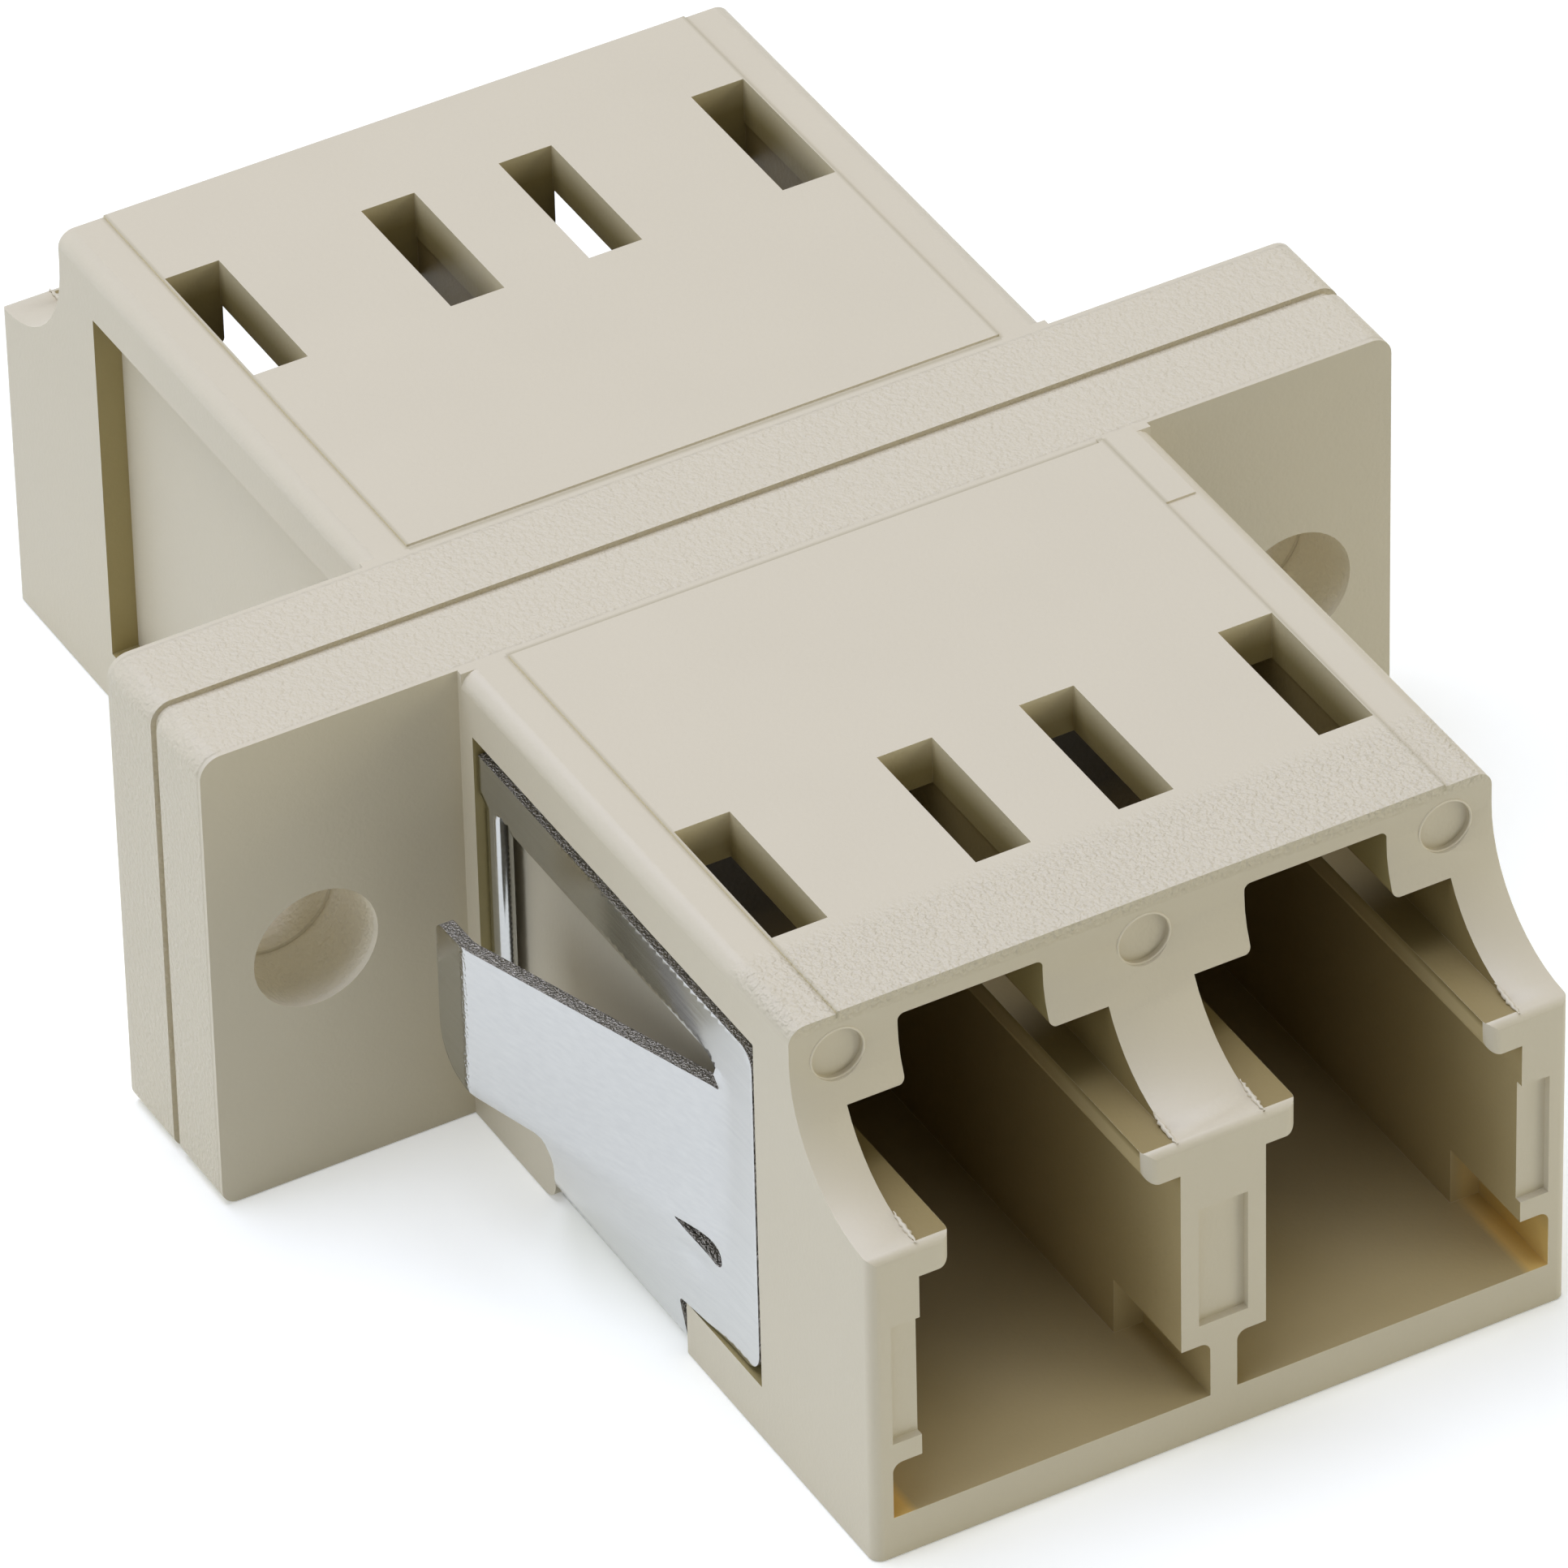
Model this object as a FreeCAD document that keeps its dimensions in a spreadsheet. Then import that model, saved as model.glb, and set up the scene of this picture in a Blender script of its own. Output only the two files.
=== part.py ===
import FreeCAD, Part
import os
import Sketcher

# Duplex fibre coupler: two identical moulded halves meet at the plane y = 0 inside the flange.
# X runs along the flange, Y along the plugs, Z up from the underside. Every size is in millimetres.

doc = FreeCAD.newDocument("fibre_coupler")
table = doc.addObject("Spreadsheet::Sheet", "Sizes")


class Length:
    """A number together with the spreadsheet expression that gives it."""

    def __init__(self, number, text=None):
        self.number = float(number)
        self.text = text if text else "(%g)" % number

    def joined(self, other, sign, result):
        return Length(result, "(%s %s %s)" % (self.text, sign, other.text))

    def __add__(self, other):
        other = as_length(other)
        return self.joined(other, "+", self.number + other.number)

    def __sub__(self, other):
        other = as_length(other)
        return self.joined(other, "-", self.number - other.number)

    def __mul__(self, other):
        other = as_length(other)
        return self.joined(other, "*", self.number * other.number)

    def __truediv__(self, other):
        other = as_length(other)
        return self.joined(other, "/", self.number / other.number)

    def __radd__(self, other):
        return as_length(other) + self

    def __rsub__(self, other):
        return as_length(other) - self

    def __rmul__(self, other):
        return as_length(other) * self

    def __neg__(self):
        return as_length(0) - self


def as_length(value):
    return value if isinstance(value, Length) else Length(value)


def size(name, number, meaning):
    """Enter one named size in the spreadsheet."""
    row = size.rows = size.rows + 1
    table.set("A%d" % row, meaning)
    table.set("B%d" % row, "%g" % number)
    table.setAlias("B%d" % row, name)
    return Length(number, "Sizes." + name)


size.rows = 0

# Body
body_width = size("body_width", 12.72, "across the outside of the body")
body_height = size("body_height", 9.10, "underside to the raised top panel")
body_length = size("body_length", 29.20, "port face to port face")
panel_width = size("panel_width", 11.00, "raised panel along the top")
panel_step = size("panel_step", 0.04, "panel above the side bands")
mark_length = size("mark_length", 2.05, "raised step on one side band, along Y")
mark_width = size("mark_width", 0.56, "raised step beside the panel")
top_edge_radius = size("top_edge_radius", 0.30, "long top edges")
front_edge_radius = size("front_edge_radius", 0.20, "upright corners of the port face")
# Flange
flange_width = size("flange_width", 22.00, "flange along X")
flange_thickness = size("flange_thickness", 3.15, "both halves of the flange together")
flange_corner = size("flange_corner", 0.38, "radius of the upper flange corners")
flange_toe = size("flange_toe", 0.28, "radius of the lower flange corners")
root_length = size("root_length", 0.12, "square-edged stretch of the body at the flange")
parting_groove = size("parting_groove", 0.10, "inset of the rim at the weld plane")
screw_spacing = size("screw_spacing", 18.20, "between the two flange holes")
screw_diameter = size("screw_diameter", 2.25, "flange holes")
# Ports
port_pitch = size("port_pitch", 6.25, "between the two optical axes")
port_width = size("port_width", 4.70, "main bore of a port")
axis_height = size("axis_height", 3.20, "optical axis above the underside")
floor_thickness = size("floor_thickness", 0.80, "floor under the ports")
rail_height = size("rail_height", 5.50, "underside to the bottom of the rails")
rail_thickness = size("rail_thickness", 0.60, "rails, up to the crest of the port face")
rail_gap = size("rail_gap", 3.48, "between the two rails of a port")
rail_radius = size("rail_radius", 0.25, "lower inner edge and front corner of a rail")
passage_height = size("passage_height", 7.40, "underside to the roof of the lug passage")
slot_width = size("slot_width", 2.60, "slot for the latch arm")
slot_height = size("slot_height", 8.60, "underside to the roof of the latch slot")
slot_radius = size("slot_radius", 0.12, "corners of the latch slot")
catch_height = size("catch_height", 8.20, "underside to the roof behind the catch")
latch_end = size("latch_end", 6.20, "weld plane to the end of the latch space")
end_wall = size("end_wall", 2.40, "weld plane to the bottom of a port")
window_width = size("window_width", 1.00, "latch windows along X")
window_length = size("window_length", 3.10, "latch windows along Y")
window_start = size("window_start", 7.00, "weld plane to the latch windows")
window_offset = size("window_offset", 1.83, "window centre to the optical axis")
# Port face
setback = size("setback", 2.40, "port face to the upper face")
scoop_radius = size("scoop_radius", 2.30, "hollow sweep from the upper face down to the crest")
crest_radius = size("crest_radius", 0.15, "front edge of the crest")
foot_width = size("foot_width", 5.76, "wide foot of a port mouth")
foot_height = size("foot_height", 1.10, "port floor to the top of the foot")
foot_depth = size("foot_depth", 2.10, "foot along Y")
foot_radius = size("foot_radius", 0.18, "upper corners of the foot")
core_width = size("core_width", 0.90, "shallow pocket in the dividing wall")
core_low = size("core_low", 2.30, "underside to the shallow pockets")
core_high = size("core_high", 4.68, "underside to the top of the shallow pockets")
core_depth = size("core_depth", 0.14, "shallow pockets along Y")
side_core = size("side_core", 0.52, "shallow pockets beside the outer port walls")
ejector_diameter = size("ejector_diameter", 0.95, "ejector marks")
ejector_depth = size("ejector_depth", 0.10, "ejector marks into the upper face")
ejector_spacing = size("ejector_spacing", 5.50, "middle mark to outer mark")
ejector_height = size("ejector_height", 8.28, "underside to the ejector marks")
# Clip seat in each moulding
recess_depth = size("recess_depth", 0.50, "clip recess into the side")
recess_near = size("recess_near", 2.00, "weld plane to the recess")
recess_far = size("recess_far", 11.05, "weld plane to the far end of the recess")
recess_low = size("recess_low", 1.05, "underside to the recess")
recess_high = size("recess_high", 8.00, "underside to the roof of the recess")
strap_recess = size("strap_recess", 0.30, "strap recess into the underside")
pad_radius = size("pad_radius", 0.35, "rounded edge beside the strap")
# Clip
sheet = size("sheet", 0.25, "thickness of the clip")
clip_sink = size("clip_sink", 0.06, "side face to the clip plate")
clip_play = size("clip_play", 0.12, "strap to the ends of its channel")
clip_near = size("clip_near", 2.05, "weld plane to the rear edge of the clip")
clip_far = size("clip_far", 10.88, "weld plane to the front edge of the clip")
clip_top = size("clip_top", 7.65, "underside of the body to the top edge of the clip")
clip_corner = size("clip_corner", 0.35, "top front corner of the clip")
tab_low = size("tab_low", 1.12, "underside of the body to the lower edge of the tab")
tab_corner = size("tab_corner", 0.42, "front corner of the tab")
band_width = size("band_width", 0.90, "band above the clip window")
window_corner = size("window_corner", 0.90, "front corner of the clip window")
strip_width = size("strip_width", 0.75, "upright strip at the rear of the clip")
strip_low = size("strip_low", 2.20, "underside of the body to the end of the strip")
strip_bend = size("strip_bend", 0.32, "outer radius of the strip's turned edge")
strap_near = size("strap_near", 4.40, "weld plane to the strap")
strap_far = size("strap_far", 8.50, "weld plane to the far edge of the strap")
leaf_root = size("leaf_root", 9.88, "weld plane to the root of the leaf")
leaf_bend = size("leaf_bend", 4.40, "weld plane to the bend near the end of the leaf")
panel_limit = size("panel_limit", 2.00, "thickest panel between the flange and the leaves")
panel_play = size("panel_play", 0.03, "that panel to the ends of the leaves")
leaf_rise = size("leaf_rise", 1.64, "leaf end out of the plate")
leaf_top = size("leaf_top", 6.26, "underside of the body to the top of the leaf root")
leaf_drop = size("leaf_drop", 0.26, "fall of the leaf's top edge")
leaf_low = size("leaf_low", 3.00, "underside of the body to the lower edge of the leaf")
leaf_knee = size("leaf_knee", 6.00, "weld plane to the corner under the leaf")
web_sweep = size("web_sweep", 0.45, "bulge of the sheet's edge between that corner and the strap")
barb_high = size("barb_high", 3.05, "underside of the body to the point of the barb slot")
barb_near = size("barb_near", 8.80, "weld plane to the point of the barb slot")
barb_length = size("barb_length", 0.97, "barb slot along Y")
barb_fall = size("barb_fall", 0.48, "point of the barb slot down to its round end")
# Sleeve holders and sleeves
sleeve_outer = size("sleeve_outer", 1.62, "split sleeve outside diameter")
sleeve_bore = size("sleeve_bore", 1.25, "split sleeve inside diameter")
sleeve_length = size("sleeve_length", 6.80, "split sleeve length")
sleeve_slit = size("sleeve_slit", 0.20, "slit along the sleeve")
sleeve_play = size("sleeve_play", 0.03, "sleeve to its holder, on the radius")
sleeve_end_play = size("sleeve_end_play", 0.10, "sleeve to the lip of its holder")
holder_flange = size("holder_flange", 4.00, "square flange of a holder")
holder_thickness = size("holder_thickness", 1.45, "thickness of that flange")
holder_play = size("holder_play", 0.05, "holder to its pocket and hole")
barrel_diameter = size("barrel_diameter", 2.90, "barrel of a holder")
barrel_reach = size("barrel_reach", 4.30, "weld plane to the end of the barrel")
entry_diameter = size("entry_diameter", 1.40, "throat of the tapered ferrule entry")
entry_mouth = size("entry_mouth", 1.95, "mouth of the tapered ferrule entry")
doc.recompute()

# Lengths that several features share
side_x = body_width / 2
port_y = body_length / 2
flange_y = flange_thickness / 2
band_z = body_height - panel_step
upper_y = port_y - setback
crest_height = rail_height + rail_thickness
recess_x = side_x - recess_depth
plate_x = side_x - clip_sink
leaf_x = plate_x + leaf_rise
leaf_end = flange_y + panel_limit + panel_play
foot_z = floor_thickness + foot_height
channel_near = strap_near - clip_play
channel_far = strap_far + clip_play
PAST = 1.0  # how far a cutting tool runs past the faces it opens


def bind(obj, **lengths):
    for prop, length in lengths.items():
        obj.setExpression(prop.replace("_", "."), as_length(length).text)


def block(name, x, y, z):
    """Box from pairs of limits along X, Y and Z."""
    obj = doc.addObject("Part::Box", name)
    bind(obj, Placement_Base_x=x[0], Placement_Base_y=y[0], Placement_Base_z=z[0])
    bind(obj, Length=x[1] - as_length(x[0]), Width=y[1] - as_length(y[0]), Height=z[1] - as_length(z[0]))
    return obj


TURN = {
    "X": FreeCAD.Rotation(FreeCAD.Vector(0, 1, 0), 90),
    "Y": FreeCAD.Rotation(FreeCAD.Vector(1, 0, 0), -90),
    "Z": FreeCAD.Rotation(),
}


def rod(name, axis, start, radius, length):
    """Cylinder from a point along +X, +Y or +Z."""
    obj = doc.addObject("Part::Cylinder", name)
    obj.Placement.Rotation = TURN[axis]
    bind(obj, Placement_Base_x=start[0], Placement_Base_y=start[1], Placement_Base_z=start[2])
    bind(obj, Radius=radius, Height=length)
    return obj


def fuse(name, shapes):
    obj = doc.addObject("Part::MultiFuse", name)
    obj.Shapes = shapes
    return obj


def cut(name, base, tools):
    obj = doc.addObject("Part::Cut", name)
    obj.Base = base
    obj.Tool = tools[0] if len(tools) == 1 else fuse(name + "_tools", tools)
    return obj


def mirrored(name, source):
    obj = doc.addObject("Part::Mirroring", name)
    obj.Source = source
    obj.Normal = FreeCAD.Vector(1, 0, 0)
    return obj


# Sketch planes: rotation, the axis that the sketch stands on, and that axis as a vector
PLANE = {
    "XY": (FreeCAD.Rotation(), "z", FreeCAD.Vector(0, 0, 1)),
    "XZ": (FreeCAD.Rotation(FreeCAD.Vector(1, 0, 0), 90), "y", FreeCAD.Vector(0, 1, 0)),
    "YZ": (FreeCAD.Rotation(FreeCAD.Vector(1, 1, 1), 120), "x", FreeCAD.Vector(1, 0, 0)),
}


def heading(start, end):
    """Direction of an upright or level edge as a pair of -1, 0 or 1."""
    du = end[0].number - start[0].number
    dv = end[1].number - start[1].number
    if abs(du) > abs(dv):
        return (1 if du > 0 else -1), 0
    return 0, (1 if dv > 0 else -1)


def sketch(name, plane, corners, height=0, circles=()):
    """Closed outline through corners (u, v) or, rounded, (u, v, radius), held by named distances."""
    obj = doc.addObject("Sketcher::SketchObject", name)
    rotation, axis, along = PLANE[plane]
    obj.Placement.Rotation = rotation
    obj.setExpression("Placement.Base." + axis, as_length(height).text)
    points = [tuple(as_length(value) for value in corner) for corner in corners]
    count = len(points)
    entries = []
    for i, corner in enumerate(points):
        if len(corner) == 2:
            entries.append((corner, corner, None))
            continue
        u, v, radius = corner
        back = heading(corner, points[i - 1])
        on = heading(corner, points[(i + 1) % count])
        arrive = (u + radius * back[0], v + radius * back[1])
        leave = (u + radius * on[0], v + radius * on[1])
        centre = (u + radius * (back[0] + on[0]), v + radius * (back[1] + on[1]))
        left_turn = back[0] * on[1] - back[1] * on[0] < 0
        entries.append((arrive, leave, (centre, radius, left_turn)))

    def spot(pair):
        return FreeCAD.Vector(pair[0].number, pair[1].number, 0)

    def hold(geometry, end, pair, tag):
        for kind, value, letter in (("DistanceX", pair[0], "u"), ("DistanceY", pair[1], "v")):
            number = obj.addConstraint(Sketcher.Constraint(kind, -1, 1, geometry, end, value.number))
            obj.renameConstraint(number, "%s_%s" % (letter, tag))
            obj.setExpression("Constraints.%s_%s" % (letter, tag), value.text)

    lines = []
    for i in range(count):
        start, finish = entries[i][1], entries[(i + 1) % count][0]
        lines.append(obj.addGeometry(Part.LineSegment(spot(start), spot(finish)), False))
        hold(lines[i], 1, start, "from_%d" % i)
    for i in range(count):
        before = lines[i - 1]
        arrive, leave, bend = entries[i]
        if bend is None:
            obj.addConstraint(Sketcher.Constraint("Coincident", before, 2, lines[i], 1))
            continue
        hold(before, 2, arrive, "to_%d" % i)
        centre, radius, left_turn = bend
        first, last = (arrive, leave) if left_turn else (leave, arrive)
        circle = Part.Circle(spot(centre), FreeCAD.Vector(0, 0, 1), radius.number)
        arc = obj.addGeometry(Part.ArcOfCircle(circle, circle.parameter(spot(first)),
                                               circle.parameter(spot(last))), False)
        start_end, finish_end = (1, 2) if left_turn else (2, 1)
        obj.addConstraint(Sketcher.Constraint("Coincident", arc, start_end, before, 2))
        obj.addConstraint(Sketcher.Constraint("Coincident", arc, finish_end, lines[i], 1))
        number = obj.addConstraint(Sketcher.Constraint("Radius", arc, radius.number))
        obj.renameConstraint(number, "round_%d" % i)
        obj.setExpression("Constraints.round_%d" % i, radius.text)
    for i, (u, v, radius) in enumerate(circles):
        centre = (as_length(u), as_length(v))
        circle = obj.addGeometry(Part.Circle(spot(centre), FreeCAD.Vector(0, 0, 1), radius.number), False)
        hold(circle, 3, centre, "hole_%d" % i)
        number = obj.addConstraint(Sketcher.Constraint("Radius", circle, radius.number))
        obj.renameConstraint(number, "bore_%d" % i)
        obj.setExpression("Constraints.bore_%d" % i, radius.text)
    return obj


def prism(name, plane, corners, limits, circles=()):
    """Outline extruded between two limits along the third axis."""
    obj = doc.addObject("Part::Extrusion", name)
    obj.Base = sketch(name + "_outline", plane, corners, limits[0], circles)
    obj.DirMode = "Custom"
    obj.Dir = PLANE[plane][2]
    obj.Solid = True
    obj.FaceMakerClass = "Part::FaceMakerBullseye"
    bind(obj, LengthFwd=limits[1] - as_length(limits[0]))
    return obj


def both_sides(half):
    """Complete a list of corners on the +u side with their mirror images."""
    return half + [(-as_length(corner[0]),) + tuple(corner[1:]) for corner in reversed(half)]


def shifted(corners, distance):
    return [(corner[0] + as_length(distance),) + tuple(corner[1:]) for corner in corners]


def edge_round(name, axis, corner, inward, radius, limits):
    """Sliver that rounds an outer edge; corner and inward are given on the other two axes."""
    centre = [as_length(c) + radius * side for c, side in zip(corner, inward)]
    spans = []
    for c, side, mid in zip(corner, inward, centre):
        outside = as_length(c) - 0.2 * side
        spans.append((outside, mid) if side > 0 else (mid, outside))
    place = "XYZ".index(axis)
    spans.insert(place, limits)
    start = list(centre)
    start.insert(place, limits[0])
    bar = rod(name + "_bar", axis, start, radius, limits[1] - as_length(limits[0]))
    return cut(name, block(name + "_block", *spans), [bar])


def port_tools(tag, axis_x):
    """What one port takes out of a moulded half. The port opens towards -Y."""
    front = -port_y - PAST
    mouth = shifted(both_sides([
        (port_width / 2, floor_thickness),
        (port_width / 2, rail_height),
        (rail_gap / 2, rail_height, rail_radius),
        (rail_gap / 2, crest_height),
        (port_width / 2, crest_height),
        (port_width / 2, passage_height),
        (slot_width / 2, passage_height, slot_radius),
        (slot_width / 2, slot_height, slot_radius),
    ]), axis_x)
    foot = shifted(both_sides([
        (foot_width / 2, floor_thickness),
        (foot_width / 2, foot_z, foot_radius),
    ]), axis_x)
    wide = (axis_x - port_width / 2, axis_x + port_width / 2)
    pocket = holder_flange / 2 + holder_play
    tools = [
        prism(tag + "mouth", "XZ", mouth, (front, -latch_end)),
        prism(tag + "foot", "XZ", foot, (front, foot_depth - port_y)),
        block(tag + "bore", wide, (-latch_end - PAST, -end_wall), (floor_thickness, rail_height)),
        block(tag + "behind_catch", wide, (-window_start - window_length, -latch_end),
              (crest_height, catch_height)),
        block(tag + "holder_pocket", (axis_x - pocket, axis_x + pocket), (-holder_thickness, PAST),
              (axis_height - pocket, axis_height + pocket)),
        rod(tag + "barrel_hole", "Y", (axis_x, -end_wall - PAST, axis_height),
            barrel_diameter / 2 + holder_play, end_wall + PAST),
    ]
    for end, side in (("left", -1), ("right", 1)):
        middle = axis_x + side * window_offset
        tools.append(block(tag + end + "_window", (middle - window_width / 2, middle + window_width / 2),
                           (-window_start - window_length, -window_start), (passage_height, body_height + PAST)))
        tools.append(edge_round(tag + end + "_rail_nose", "Z", (axis_x + side * rail_gap / 2, -port_y), (side, 1),
                                rail_radius, (rail_height - 0.1, crest_height + 0.1)))
    return tools


def flange_outline(inset):
    return both_sides([
        (flange_width / 2 - inset, as_length(inset), flange_toe - inset),
        (flange_width / 2 - inset, band_z - inset, flange_corner - inset),
    ])


def housing(tag, label, marked):
    """One moulded half with its port faces towards -Y; only the front one has the raised mark."""
    screws = [(side * screw_spacing / 2, body_height / 2, screw_diameter / 2) for side in (-1, 1)]
    solids = [
        prism(tag + "trunk", "XZ", both_sides([(side_x, 0), (side_x, band_z, top_edge_radius)]),
              (-port_y, -flange_y - root_length)),
        block(tag + "root", (-side_x, side_x), (-flange_y - root_length, -flange_y), (0, band_z)),
        block(tag + "panel", (-panel_width / 2, panel_width / 2), (-upper_y - 0.5, -flange_y - root_length),
              (band_z - 0.4, body_height)),
        prism(tag + "flange", "XZ", flange_outline(0), (-flange_y, -parting_groove), screws),
        prism(tag + "rim", "XZ", flange_outline(parting_groove), (-parting_groove, 0), screws),
    ]
    if marked:
        solids.append(block(tag + "mark", (panel_width / 2 - 0.1, panel_width / 2 + mark_width),
                            (-flange_y - mark_length, -flange_y), (band_z - 0.4, body_height)))
    tools = port_tools(tag + "left_", -port_pitch / 2) + port_tools(tag + "right_", port_pitch / 2)
    wide = (-side_x - PAST, side_x + PAST)
    # Side view of the front: upright upper face, hollow sweep, crest.
    tools += [
        prism(tag + "front", "YZ", [
            (-port_y - PAST, body_height + PAST),
            (-port_y - PAST, crest_height),
            (-upper_y, crest_height, scoop_radius),
            (-upper_y, body_height + PAST),
        ], wide),
        edge_round(tag + "crest", "X", (-port_y, crest_height), (1, -1), crest_radius, wide),
        block(tag + "strap_recess", wide, (-channel_far, -channel_near), (-PAST, strap_recess)),
        edge_round(tag + "pad", "X", (-channel_near, 0), (1, 1), pad_radius, wide),
        block(tag + "core", (-core_width / 2, core_width / 2), (-port_y - PAST, core_depth - port_y),
              (core_low, core_high)),
    ]
    for end, side in (("left", -1), ("right", 1)):
        core_x = sorted([side * (port_pitch / 2 + port_width / 2 - 0.2),
                         side * (port_pitch / 2 + port_width / 2 + side_core)], key=lambda length: length.number)
        seat_x = sorted([side * recess_x, side * (side_x + PAST)], key=lambda length: length.number)
        seat = prism(tag + end + "_seat", "YZ", [
            (-recess_near, recess_low),
            (-recess_near, recess_high),
            (-recess_far, recess_high),
            (-recess_far, recess_low),
            (-channel_far, recess_low),
            (-channel_far, -PAST),
            (-channel_near, -PAST),
            (-channel_near, recess_low),
        ], seat_x)
        tools += [
            seat,
            block(tag + end + "_core", core_x, (-port_y - PAST, core_depth - port_y), (core_low, core_high)),
            edge_round(tag + end + "_front_edge", "Z", (side * side_x, -port_y), (-side, 1), front_edge_radius,
                       (-PAST, crest_height + PAST)),
        ]
    for number in (-1, 0, 1):
        tools.append(rod(tag + "ejector_%d" % (number + 2), "Y",
                         (number * ejector_spacing, -upper_y - PAST, ejector_height),
                         ejector_diameter / 2, ejector_depth + PAST))
    half = cut(tag + "half", fuse(tag + "solids", solids), tools)
    half.Label = label
    return half


def clip_side():
    """Left side of the clip: plate with its window, turned edge, leaf, and the web down to the strap."""
    plate_span = (-plate_x, sheet - plate_x)
    band_low = clip_top - band_width
    strip_y = clip_near + strip_width
    plate = prism("clip_plate", "YZ", [
        (-clip_near, band_low),
        (-clip_near, clip_top),
        (-clip_far, clip_top, clip_corner),
        (-clip_far, tab_low, tab_corner),
        (-leaf_root, tab_low),
        (-leaf_root, band_low, window_corner),
    ], plate_span)
    strip = prism("clip_strip", "XY", [
        (-plate_x, -clip_near),
        (-plate_x, -strip_y, strip_bend),
        (-recess_x, -strip_y),
        (-recess_x, sheet - strip_y),
        (sheet - plate_x, sheet - strip_y, strip_bend - sheet),
        (sheet - plate_x, -clip_near),
    ], (strip_low, band_low))
    slope = leaf_rise / (leaf_root - leaf_bend)
    leaf_line = [
        (-plate_x, -leaf_root - 0.01),
        (-leaf_x, -leaf_bend),
        (-leaf_x, -leaf_end),
        (sheet - leaf_x, -leaf_end),
        (sheet - leaf_x, -leaf_bend - 0.03),
        (sheet - plate_x, -leaf_root - 0.01),
    ]
    leaf = prism("clip_leaf", "XY", leaf_line, (leaf_low - 0.01, leaf_top))
    web = doc.addObject("Part::Loft", "clip_web")
    # Cross sections of the sheet from the fold up to the leaf: flat at the fold, sloped at the leaf.
    rise = slope * (leaf_root - leaf_knee)
    height = leaf_low - strap_recess
    run = leaf_knee - strap_near
    sections = []
    for number, (up, outward, back) in enumerate(((0, 0, 0), (0.35, 0.25, 0.1), (0.7, 0.6, 0.4), (1, 1, 1))):
        bulge = web_sweep * (4 * up * (1 - up))
        rear = strap_near + run * up - bulge * back
        rear_x = plate_x + rise * outward
        sections.append(sketch("clip_web_%d" % number, "XY", [
            (-plate_x, -leaf_root - 0.01), (-rear_x, -rear),
            (sheet - rear_x, -rear), (sheet - plate_x, -leaf_root - 0.01),
        ], strap_recess + height * up))
    web.Sections = sections
    web.Solid = True
    outside = (-leaf_x - PAST, 0)
    above_leaf = prism("clip_above_leaf", "YZ", [
        (-leaf_root, leaf_top),
        (-leaf_end, leaf_top - leaf_drop),
        (PAST, leaf_top - leaf_drop),
        (PAST, leaf_top + PAST),
        (-leaf_root, leaf_top + PAST),
    ], (-leaf_x - PAST, -plate_x))
    barb = prism("clip_barb", "YZ", [
        (-barb_near, barb_high),
        (-barb_near - 0.65 * barb_length, barb_high),
        (-barb_near - 0.9 * barb_length, barb_high - 0.2 * barb_fall),
        (-barb_near - barb_length, barb_high - 0.7 * barb_fall),
        (-barb_near - 0.92 * barb_length, barb_high - barb_fall),
        (-barb_near - 0.6 * barb_length, barb_high - 0.65 * barb_fall),
        (-barb_near - 0.28 * barb_length, barb_high - 0.33 * barb_fall),
    ], outside)
    tools = [
        above_leaf,
        barb,
        block("clip_gap", outside, (-leaf_root - 0.5, -strap_far), (-PAST, tab_low)),
        edge_round("clip_lip", "X", (-leaf_end, leaf_low), (-1, 1), leaf_bend - leaf_end, outside),
    ]
    return cut("clip_left", fuse("clip_left_solids", [plate, strip, leaf, web]), tools)


def spring_clip():
    left = clip_side()
    strap = block("clip_strap", (-plate_x, plate_x), (-strap_far, -strap_near), (strap_recess - sheet, strap_recess))
    folds = [edge_round("clip_fold_" + end, "Y", (side * plate_x, strap_recess - sheet), (-side, 1), sheet,
                        (-strap_far - PAST, PAST - strap_near))
             for end, side in (("left", -1), ("right", 1))]
    clip = cut("clip", fuse("clip_solids", [left, mirrored("clip_right", left), strap]), folds)
    clip.Label = "spring_clip"
    return clip


def sleeve_holder(tag, label, axis_x):
    """Turned barrel with a square flange; the flange face lies on the weld plane."""
    lip_y = sleeve_length / 2 + sleeve_end_play
    bore = sleeve_outer / 2 + sleeve_play
    section = [(axis_x + radius, y) for radius, y in (
        (bore, as_length(0)),
        (bore, -lip_y),
        (entry_diameter / 2, -lip_y),
        (entry_mouth / 2, -barrel_reach),
        (barrel_diameter / 2, -barrel_reach),
        (barrel_diameter / 2, as_length(0)),
    )]
    barrel = doc.addObject("Part::Revolution", tag + "barrel")
    barrel.Source = sketch(tag + "section", "XY", section, axis_height)
    barrel.Axis = FreeCAD.Vector(0, 1, 0)
    barrel.Angle = 360
    barrel.Solid = True
    bind(barrel, Base_x=axis_x, Base_z=axis_height)
    half = holder_flange / 2
    flange = prism(tag + "flange", "XZ", [
        (axis_x - half, axis_height - half), (axis_x + half, axis_height - half),
        (axis_x + half, axis_height + half), (axis_x - half, axis_height + half),
    ], (-holder_thickness, 0), [(axis_x, axis_height, bore)])
    holder = fuse(tag + "holder", [barrel, flange])
    holder.Label = label
    return holder


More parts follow.
